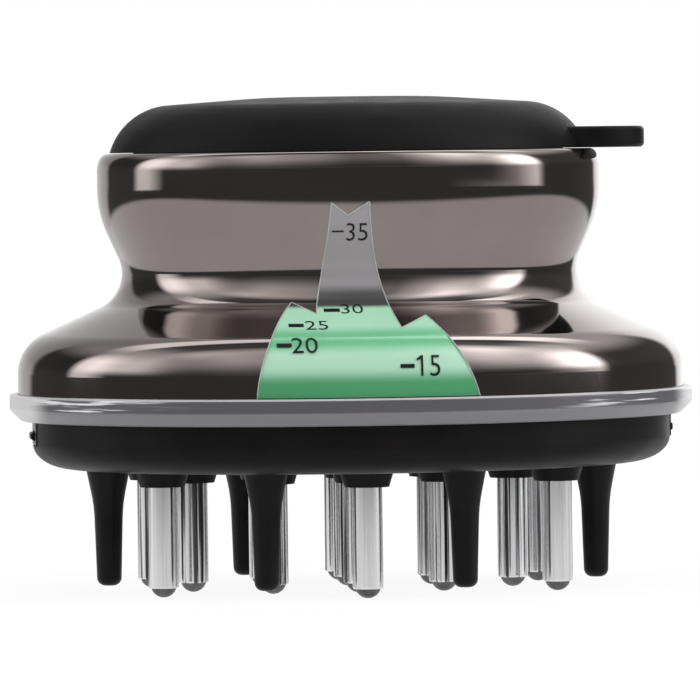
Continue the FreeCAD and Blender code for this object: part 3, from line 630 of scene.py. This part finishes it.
SILICONE = (0.003, 0.003, 0.0031, 1.0)
SILICONE_DUSTY = (0.005, 0.005, 0.0051, 1.0)

cap_silicone, tree, shader, grain = new_finish(
    "black silicone", grains=7.0, mottles=0.25, smoothest=0.42, roughest=0.6, bump=0.000012,
    Specular_IOR_Level=0.12)
tint(tree, shader, grain, SILICONE, SILICONE_DUSTY)
dress(cap_silicone, "filler_cap")

# Collar: a frosted clear ring that carries the reservoir on its shelf and snaps onto the base with two
# lugs. Its solid ends are painted pale, as painted light coming through them, the black base shows through
# its lugs, and the wall behind its upper half shows as a darker belt with white glints painted on it as
# highlights. Its top edge carries a painted highlight line.

FROSTED_UPPER = (0.088, 0.084, 0.093, 1.0)
FROSTED_LOWER = (0.19, 0.185, 0.197, 1.0)
FROSTED_END_PAINTED_LIGHT = (0.62, 0.615, 0.625, 1.0)
FROSTED_PAINTED_GLINT = (0.78, 0.775, 0.785, 1.0)
FROSTED_EDGE_HIGHLIGHT = (0.45, 0.45, 0.455, 1.0)
LUG_DARK = (0.03, 0.029, 0.03, 1.0)
COLLAR_LOW, COLLAR_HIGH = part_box("clear_collar")
COLLAR_TALL = 0.00267
BELT_RISE = 0.48 * COLLAR_TALL
BELT_BLUR = 0.0001
EDGE_DEPTH = 0.0002
EDGE_BLUR = 0.00005
COLLAR_BOTTOM = COLLAR_HIGH[2] - COLLAR_TALL
COLLAR_BELT = COLLAR_BOTTOM + BELT_RISE
COLLAR_EDGE = COLLAR_HIGH[2] - EDGE_DEPTH
# Shares of the collar's half-length from which its ends are painted pale with light coming through, and its
# upper half gets painted glints
PALE_END_FROM = 0.9
PALE_END_WHOLE = 0.96
GLINTS_FROM = 0.5
GLINTS_WHOLE = 0.75
GLINTS_PER_METRE = (130.0, 130.0, 3600.0)
GLINT_LOW = 0.52
GLINT_HIGH = 0.64


def smooth_share(tree, value, low, high):
    """Share from 0 to 1 as a value rises, or falls, from low to high."""
    return add_node(tree, "ShaderNodeMapRange", {"Value": value, "From Min": low, "From Max": high},
                    interpolation_type="SMOOTHSTEP").outputs[0]


frosted_clear, tree, shader, grain = new_finish(
    "frosted clear plastic", grains=2.0, mottles=0.18, smoothest=0.3, roughest=0.36, bump=0.0000006,
    IOR=1.49, Transmission_Weight=0.12)
place = object_place(tree)
parts = add_node(tree, "ShaderNodeSeparateXYZ", {0: place}).outputs
endwise = calculated(tree, "DIVIDE", calculated(tree, "ABSOLUTE", parts["X"]), COLLAR_HIGH[0])
# Painted highlights: white glints over the upper half, from stretched noise
glint_place = add_node(tree, "ShaderNodeMapping", {"Vector": place, "Scale": GLINTS_PER_METRE})
glint_noise = add_node(tree, "ShaderNodeTexNoise", {
    "Vector": glint_place.outputs[0], "Scale": 1.0, "Detail": 2.0})
glint_share = calculated(
    tree, "MULTIPLY", smooth_share(tree, glint_noise.outputs[0], GLINT_LOW, GLINT_HIGH),
    smooth_share(tree, endwise, GLINTS_FROM, GLINTS_WHOLE))
upper = blended(tree, glint_share, FROSTED_UPPER, FROSTED_PAINTED_GLINT)
above_belt = smooth_share(tree, parts["Z"], COLLAR_BELT - BELT_BLUR, COLLAR_BELT + BELT_BLUR)
belt = blended(tree, above_belt, FROSTED_LOWER, upper)
# Painted highlight: a pale line along the top edge
at_edge = smooth_share(tree, parts["Z"], COLLAR_EDGE, COLLAR_EDGE + EDGE_BLUR)
edged = blended(tree, at_edge, belt, FROSTED_EDGE_HIGHLIGHT)
# Painted light: the ends are painted pale where light comes through them
ends = blended(tree, smooth_share(tree, endwise, PALE_END_FROM, PALE_END_WHOLE), edged, FROSTED_END_PAINTED_LIGHT)
on_lugs = smooth_share(tree, parts["Z"], COLLAR_BOTTOM, COLLAR_BOTTOM - EDGE_BLUR)
lugs = blended(tree, on_lugs, ends, LUG_DARK)
tree.links.new(lugs, shader.inputs["Base Color"])
dress(frosted_clear, "clear_collar")

# Base housing, release buttons and the parts inside it: a satin black moulding that holds the tubes and
# teeth. The buttons are moulded from the same plastic and spring out through windows in the collar's lugs.

BASE_BLACK = (0.0034, 0.0029, 0.0027, 1.0)
BASE_BLACK_WORN = (0.0056, 0.0048, 0.0045, 1.0)

satin_black, tree, shader, grain = new_finish(
    "satin black plastic", grains=9.0, mottles=0.2, smoothest=0.36, roughest=0.52, bump=0.000005,
    Specular_IOR_Level=0.13)
tint(tree, shader, grain, BASE_BLACK, BASE_BLACK_WORN)
dress(satin_black, "base_housing", "latch_button_left", "latch_button_right", "tube_plate")

GASKET_GREY = (0.22, 0.22, 0.225, 1.0)
GASKET_GREY_PALE = (0.30, 0.30, 0.305, 1.0)

gasket_rubber, tree, shader, grain = new_finish(
    "grey gasket rubber", grains=6.0, mottles=0.4, smoothest=0.5, roughest=0.7, bump=0.00001)
tint(tree, shader, grain, GASKET_GREY, GASKET_GREY_PALE)
dress(gasket_rubber, "base_gasket")

# Dispensing tubes: drawn stainless steel, polished, with a tone that drifts along the draw. Dark streaks
# along their length are painted reflections, faint on the front row and full on the rows behind it, where
# they are painted shade as well. Each is flared at the top, clamped under the tube plate, and rolled in at
# the tip to hold its ball.

STEEL = (0.68, 0.68, 0.69, 1.0)
STEEL_BRIGHT = (0.84, 0.84, 0.85, 1.0)
STEEL_DARK_REFLECTION = (0.07, 0.07, 0.072, 1.0)
DRAWN_SCALE = (1.0, 1.0, 0.012)
DARK_STREAKS_PER_METRE = 2400.0
DARK_STREAKS_LOW = 0.5
DARK_STREAKS_HIGH = 0.6
# Share of the painted dark streaks that shows on the front row, and where along the depth, in metres, the
# rows are told apart
FRONT_ROW_DARK_STREAKS = 0.07
FRONT_ROW_Y = -0.009
REAR_ROWS_Y = -0.007
TUBE_COUNT = 14
NUMBERS = [f"{number:02d}" for number in range(1, TUBE_COUNT + 1)]

drawn_steel, tree, shader, grain = new_finish(
    "drawn steel", grains=5.0, mottles=0.5, smoothest=0.12, roughest=0.24, bump=0.000003, Metallic=1.0)
place = object_place(tree)
drawn = add_node(tree, "ShaderNodeMapping", {"Vector": place, "Scale": DRAWN_SCALE}).outputs[0]
tree.links.new(drawn, grain.inputs["Place"])
steel = tint(tree, shader, grain, STEEL, STEEL_BRIGHT)
# Painted reflections and shade: dark streaks along the tubes, heavier on the rows behind the front one
dark_streak_noise = add_node(tree, "ShaderNodeTexNoise", {
    "Vector": drawn, "Scale": DARK_STREAKS_PER_METRE, "Detail": 3.0}).outputs[0]
row = add_node(tree, "ShaderNodeSeparateXYZ", {0: place}).outputs["Y"]
behind = add_node(tree, "ShaderNodeMapRange", {
    "Value": row, "From Min": FRONT_ROW_Y, "From Max": REAR_ROWS_Y, "To Min": FRONT_ROW_DARK_STREAKS}).outputs[0]
dark_streaks = calculated(tree, "MULTIPLY", behind, smooth_share(tree, dark_streak_noise, DARK_STREAKS_LOW, DARK_STREAKS_HIGH))
tree.links.new(blended(tree, dark_streaks, steel, STEEL_DARK_REFLECTION), shader.inputs["Base Color"])
dress(drawn_steel, *("dispensing_tube_" + number for number in NUMBERS), "plate_screws")

# Roller balls: small ground steel balls, dull from tumbling. Each sits loose in its tube's rolled tip, where
# it turns and presses back against its spring.

BALL_GREY = (0.095, 0.095, 0.098, 1.0)
BALL_GREY_BRIGHT = (0.16, 0.16, 0.163, 1.0)

tumbled_steel, tree, shader, grain = new_finish(
    "tumbled steel", grains=7.0, mottles=0.8, smoothest=0.32, roughest=0.5, bump=0.000004, Metallic=1.0)
tint(tree, shader, grain, BALL_GREY, BALL_GREY_BRIGHT)
dress(tumbled_steel, *("roller_ball_" + number for number in NUMBERS))

# Valve springs: drawn wire coils behind the balls, hidden in the tubes, which in the real thing shorten
# towards the tube plate as the balls are pressed in. Each is copied from its CAD node as a mesh of its own
# on the root, and the CAD node is hidden.

WIRE = (0.42, 0.42, 0.43, 1.0)
WIRE_BRIGHT = (0.58, 0.58, 0.59, 1.0)

spring_wire, tree, shader, grain = new_finish(
    "spring wire", grains=9.0, mottles=1.0, smoothest=0.2, roughest=0.35, bump=0.000002, Metallic=1.0)
tint(tree, shader, grain, WIRE, WIRE_BRIGHT)
dress(spring_wire, *("valve_spring_" + number for number in NUMBERS))
for number in NUMBERS:
    cad_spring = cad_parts["valve_spring_" + number]
    coil_mesh = cad_spring.data.copy()
    coil_mesh.transform(cad_spring.matrix_world)
    coil = piece("spring_coil_" + number, coil_mesh, "root")
    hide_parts("valve_spring_" + number)
    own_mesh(coil)

# Massage teeth: moulded in soft black rubber, tapered to a waist and rounded at the tip. Each is plugged
# into its own hole in the base.

RUBBER = (0.0034, 0.003, 0.0029, 1.0)
RUBBER_WORN = (0.006, 0.0053, 0.0052, 1.0)
TOOTH_COUNT = 6

tooth_rubber, tree, shader, grain = new_finish(
    "black tooth rubber", grains=8.0, mottles=0.3, smoothest=0.32, roughest=0.46, bump=0.000006,
    Specular_IOR_Level=0.16)
tint(tree, shader, grain, RUBBER, RUBBER_WORN)
dress(tooth_rubber, *(f"massage_tooth_{number}" for number in range(1, TOOTH_COUNT + 1)))

# Studio: a white floor and a white surround for the camera. Other rays see softboxes: a long one above the
# front, a strip behind the top, one at each side with a dark flag behind it, and a white wall at the back.

WHITE = (1.0, 1.0, 1.0, 1.0)
BRIGHTEST = 3.0
# Brightness down at the horizon by the angle round from straight ahead, left negative (degrees, brightness)
BACK_LEFT = [(-180, 0.95), (-172, 0.72), (-144, 0.72), (-138, 0.1)]
BACK_RIGHT = [(138, 0.1), (144, 1.3), (172, 1.3), (180, 0.95)]
HORIZON = BACK_LEFT + BACK_RIGHT
# Far out on the floor the lower ends of the side boxes show
BOX_ENDS = BACK_LEFT + [
    (-108, 0.1), (-103, 1.8), (-95, 1.8), (-84, 0.1), (35, 0.1), (68, 0.7), (80, 2.0), (85, 0.1),
] + BACK_RIGHT
# The side boxes stand above the horizon
SIDES = BACK_LEFT + [
    (-108, 0.1), (-102, 3.0), (-92, 3.0), (-80, 1.7), (-60, 1.2), (-30, 0.4), (0, 0.1), (30, 0.4),
    (55, 1.2), (72, 2.6), (80, 2.6), (85, 0.1),
] + BACK_RIGHT
# Brightness over the front, top and back by the angle from straight ahead up and over
OVERHEAD = [
    (-180, 0.8), (-30, 0.8), (-20, 0.1), (4, 0.1), (10, 0.35), (20, 0.9), (38, 2.0), (64, 2.1),
    (78, 0.15), (95, 0.1), (98, 3.0), (108, 3.0), (112, 0.7), (180, 0.7),
]
# Share of that brightness by the angle round: the boxes fade straight ahead and the right one is the
# strongest
BALANCE = [
    (-180, 1.0), (-150, 0.75), (-110, 0.75), (-95, 1.15), (-70, 1.25), (-50, 0.7), (-30, 0.5), (-12, 0.4),
    (0, 0.22), (20, 0.25), (35, 0.8), (50, 1.9), (72, 2.4), (84, 2.0), (92, 1.3), (150, 1.3), (180, 1.0),
]
# Where the parts of the studio fade into each other: angles above the ground in degrees, angles round from
# straight ahead in degrees, and the share of a direction that points outwards
BALANCE_FOOT = 2.0
BALANCE_WHOLE = 12.0
SIDE_SKY = 0.9
SKY_DARK = 0.1
SKY_FOOT = 2.0
SKY_FOOT_WHOLE = 28.0
SIDE_FROM = 52.0
SIDE_WHOLE = 72.0
SIDES_FOOT = 0.0
SIDES_FOOT_WHOLE = 16.0
SIDES_TOP = 45.0
SIDES_TOP_WHOLE = 25.0
OUTWARDS_FROM = 0.45
OUTWARDS_WHOLE = 0.75


def brightness_ramp(tree, angle, table):
    """Brightness from an angle in radians, by a table of (degrees, brightness) all the way round."""
    low, high = table[0][0], table[-1][0]
    share = add_node(tree, "ShaderNodeMapRange", {
        "Value": angle, "From Min": math.radians(low), "From Max": math.radians(high)})
    greys = []
    for degrees, bright in table:
        greys.append(((degrees - low) / (high - low), (bright / BRIGHTEST,) * 3 + (1.0,)))
    return calculated(tree, "MULTIPLY", colour_ramp(tree, share.outputs[0], greys), BRIGHTEST)


def round_group(name, table):
    """Shader group: brightness from a table in the direction of a vector, seen from above."""
    group = bpy.data.node_groups.new(name, "ShaderNodeTree")
    group.interface.new_socket("Direction", in_out="INPUT", socket_type="NodeSocketVector")
    group.interface.new_socket("Brightness", in_out="OUTPUT", socket_type="NodeSocketFloat")
    direction = add_node(group, "NodeGroupInput").outputs["Direction"]
    parts = add_node(group, "ShaderNodeSeparateXYZ", {0: direction})
    ahead = calculated(group, "MULTIPLY", parts.outputs["Y"], -1.0)
    turn = calculated(group, "ARCTAN2", parts.outputs["X"], ahead)
    add_node(group, "NodeGroupOutput", {"Brightness": brightness_ramp(group, turn, table)})
    return group


def seen_round(tree, group, direction):
    """Brightness from a round group in a direction."""
    looked_up = add_node(tree, "ShaderNodeGroup", {"Direction": direction}, node_tree=group)
    return looked_up.outputs["Brightness"]


def mixed(tree, share, first, second):
    """Brightness between two brightnesses, each a value or a socket."""
    mix = add_node(tree, "ShaderNodeMix", {"Factor": share, 2: first, 3: second}, data_type="FLOAT")
    return mix.outputs[0]


STUDIO_HORIZON = round_group("studio horizon", HORIZON)
STUDIO_BOX_ENDS = round_group("studio box ends", BOX_ENDS)
STUDIO_SIDES = round_group("studio sides", SIDES)
STUDIO_BALANCE = round_group("studio balance", BALANCE)

# Floor: white for the camera, with the object's shadow. In mirrors it is white in a long oval near the
# object, fades into the horizon further out, and shows the lower ends of the side boxes that stand on it.
# From below it is clear.

FLOOR_SIZE = 6.0
FLOOR_WHITE = (0.92, 0.92, 0.92, 1.0)
FLOOR_GLOW = 0.93
FLOOR_MIRRORED = 0.9
FLOOR_NEAR = 0.15
FLOOR_FAR = 0.22
FLOOR_OVAL = 0.55
BOXES_FROM = 1.3
BOXES_WHOLE = 2.0

floor_mesh = bpy.data.meshes.new("floor")
reach = FLOOR_SIZE / 2
floor_mesh.from_pydata([(-reach, -reach, 0), (reach, -reach, 0), (reach, reach, 0), (-reach, reach, 0)], [],
                       [(0, 1, 2, 3)])
floor = bpy.data.objects.new("floor", floor_mesh)
bpy.context.collection.objects.link(floor)
floor_paint = bpy.data.materials.new("floor paint")
floor_paint.use_nodes = True
tree = floor_paint.node_tree
tree.nodes.clear()
paint = add_node(tree, "ShaderNodeBsdfDiffuse", {"Color": FLOOR_WHITE})
rays = add_node(tree, "ShaderNodeLightPath").outputs
place = add_node(tree, "ShaderNodeTexCoord").outputs["Object"]
distance = add_node(tree, "ShaderNodeVectorMath", {0: place}, operation="LENGTH").outputs["Value"]
oval = add_node(tree, "ShaderNodeVectorMath", {
    0: place, 1: (FLOOR_OVAL, 1.0, 1.0)}, operation="MULTIPLY").outputs[0]
oval_distance = add_node(tree, "ShaderNodeVectorMath", {0: oval}, operation="LENGTH").outputs["Value"]
far_level = mixed(tree, smooth_share(tree, distance, BOXES_FROM, BOXES_WHOLE),
                  seen_round(tree, STUDIO_HORIZON, place), seen_round(tree, STUDIO_BOX_ENDS, place))
far_off = smooth_share(tree, oval_distance, FLOOR_NEAR, FLOOR_FAR)
mirrored_level = mixed(tree, far_off, FLOOR_MIRRORED, far_level)
glow_level = mixed(tree, rays["Is Camera Ray"], mirrored_level, 1.0)
glow = add_node(tree, "ShaderNodeEmission", {"Color": WHITE, "Strength": glow_level})
mirrored = calculated(tree, "MAXIMUM", rays["Is Glossy Ray"], rays["Is Transmission Ray"])
seen = calculated(tree, "MULTIPLY", rays["Is Camera Ray"], FLOOR_GLOW)
glowing = calculated(tree, "MAXIMUM", mirrored, seen)
top_side = add_node(tree, "ShaderNodeMixShader", {0: glowing, 1: paint.outputs[0], 2: glow.outputs[0]})
clear = add_node(tree, "ShaderNodeBsdfTransparent")
below = add_node(tree, "ShaderNodeNewGeometry").outputs["Backfacing"]
sides = add_node(tree, "ShaderNodeMixShader", {0: below, 1: top_side.outputs[0], 2: clear.outputs[0]})
add_node(tree, "ShaderNodeOutputMaterial", {"Surface": sides.outputs[0]})
floor_mesh.materials.append(floor_paint)

# Surround: plain white for the camera. The light and the mirrors see the softboxes, which stand all round
# and over the object.

world = bpy.data.worlds.new("studio")
bpy.context.scene.world = world
world.use_nodes = True
tree = world.node_tree
tree.nodes.clear()
direction = add_node(tree, "ShaderNodeTexCoord").outputs["Generated"]
parts = add_node(tree, "ShaderNodeSeparateXYZ", {0: direction}).outputs
ahead = calculated(tree, "MULTIPLY", parts["Y"], -1.0)
over = calculated(tree, "ARCTAN2", parts["Z"], ahead)
round_angle = calculated(tree, "ARCTAN2", calculated(tree, "ABSOLUTE", parts["X"]), ahead)
rise = calculated(tree, "ARCSINE", parts["Z"])
outwards = smooth_share(tree, calculated(tree, "ABSOLUTE", parts["X"]), OUTWARDS_FROM, OUTWARDS_WHOLE)
above_sky_foot = smooth_share(tree, rise, math.radians(SKY_FOOT), math.radians(SKY_FOOT_WHOLE))
side_sky = mixed(tree, above_sky_foot, SKY_DARK, SIDE_SKY)
sky = mixed(tree, outwards, brightness_ramp(tree, over, OVERHEAD), side_sky)
above_foot = smooth_share(tree, rise, math.radians(SIDES_FOOT), math.radians(SIDES_FOOT_WHOLE))
low_band = mixed(tree, above_foot, seen_round(tree, STUDIO_BOX_ENDS, direction),
                 seen_round(tree, STUDIO_SIDES, direction))
to_side = smooth_share(tree, round_angle, math.radians(SIDE_FROM), math.radians(SIDE_WHOLE))
to_ground = smooth_share(tree, rise, math.radians(SIDES_TOP), math.radians(SIDES_TOP_WHOLE))
even = mixed(tree, calculated(tree, "MULTIPLY", to_side, to_ground), sky, low_band)
above_balance = smooth_share(tree, rise, math.radians(BALANCE_FOOT), math.radians(BALANCE_WHOLE))
balance = mixed(tree, above_balance, 1.0, seen_round(tree, STUDIO_BALANCE, direction))
studio = calculated(tree, "MULTIPLY", even, balance)
soft_light = add_node(tree, "ShaderNodeBackground", {"Color": WHITE, "Strength": studio})
white = add_node(tree, "ShaderNodeBackground", {"Color": WHITE, "Strength": 1.0})
camera_ray = add_node(tree, "ShaderNodeLightPath").outputs["Is Camera Ray"]
surround = add_node(tree, "ShaderNodeMixShader", {
    0: camera_ray, 1: soft_light.outputs[0], 2: white.outputs[0]})
add_node(tree, "ShaderNodeOutputWorld", {"Surface": surround.outputs[0]})

# Camera: long lens from the front, a little left of the middle and above the waist, rolled by under a
# degree.

LENS = 353.0
CAMERA_PLACE = Vector((-0.06556, -0.68085, 0.04385))
CAMERA_AIM = Vector((-0.00008, 0.0, 0.02385))
CAMERA_ROLL = -0.0125
SENSOR_WIDTH = 36.0
SIGHT_LIMIT = 20.0

camera_data = bpy.data.cameras.new("camera")
camera_data.lens = LENS
camera_data.sensor_width = SENSOR_WIDTH
camera_data.clip_end = SIGHT_LIMIT
camera = bpy.data.objects.new("camera", camera_data)
bpy.context.collection.objects.link(camera)
look = (CAMERA_AIM - CAMERA_PLACE).to_track_quat("-Z", "Y").to_matrix().to_4x4()
camera.matrix_world = Matrix.Translation(CAMERA_PLACE) @ look @ Matrix.Rotation(CAMERA_ROLL, 4, "Z")
bpy.context.scene.camera = camera
bpy.context.scene.view_settings.view_transform = "Standard"

# Key light: one soft lamp above the front. It does not show in mirrors, where the softboxes stand for it.

KEY_LENGTH = 0.5
KEY_DEPTH = 0.3
KEY_POWER = 1.2
KEY_PLACE = (0.0, -0.35, 0.55)
KEY_TILT = math.radians(32)

key_data = bpy.data.lights.new("key", "AREA")
key_data.shape = "RECTANGLE"
key_data.size = KEY_LENGTH
key_data.size_y = KEY_DEPTH
key_data.energy = KEY_POWER
key = bpy.data.objects.new("key", key_data)
bpy.context.collection.objects.link(key)
key.visible_glossy = False
key.matrix_world = Matrix.Translation(KEY_PLACE) @ Matrix.Rotation(KEY_TILT, 4, "X")
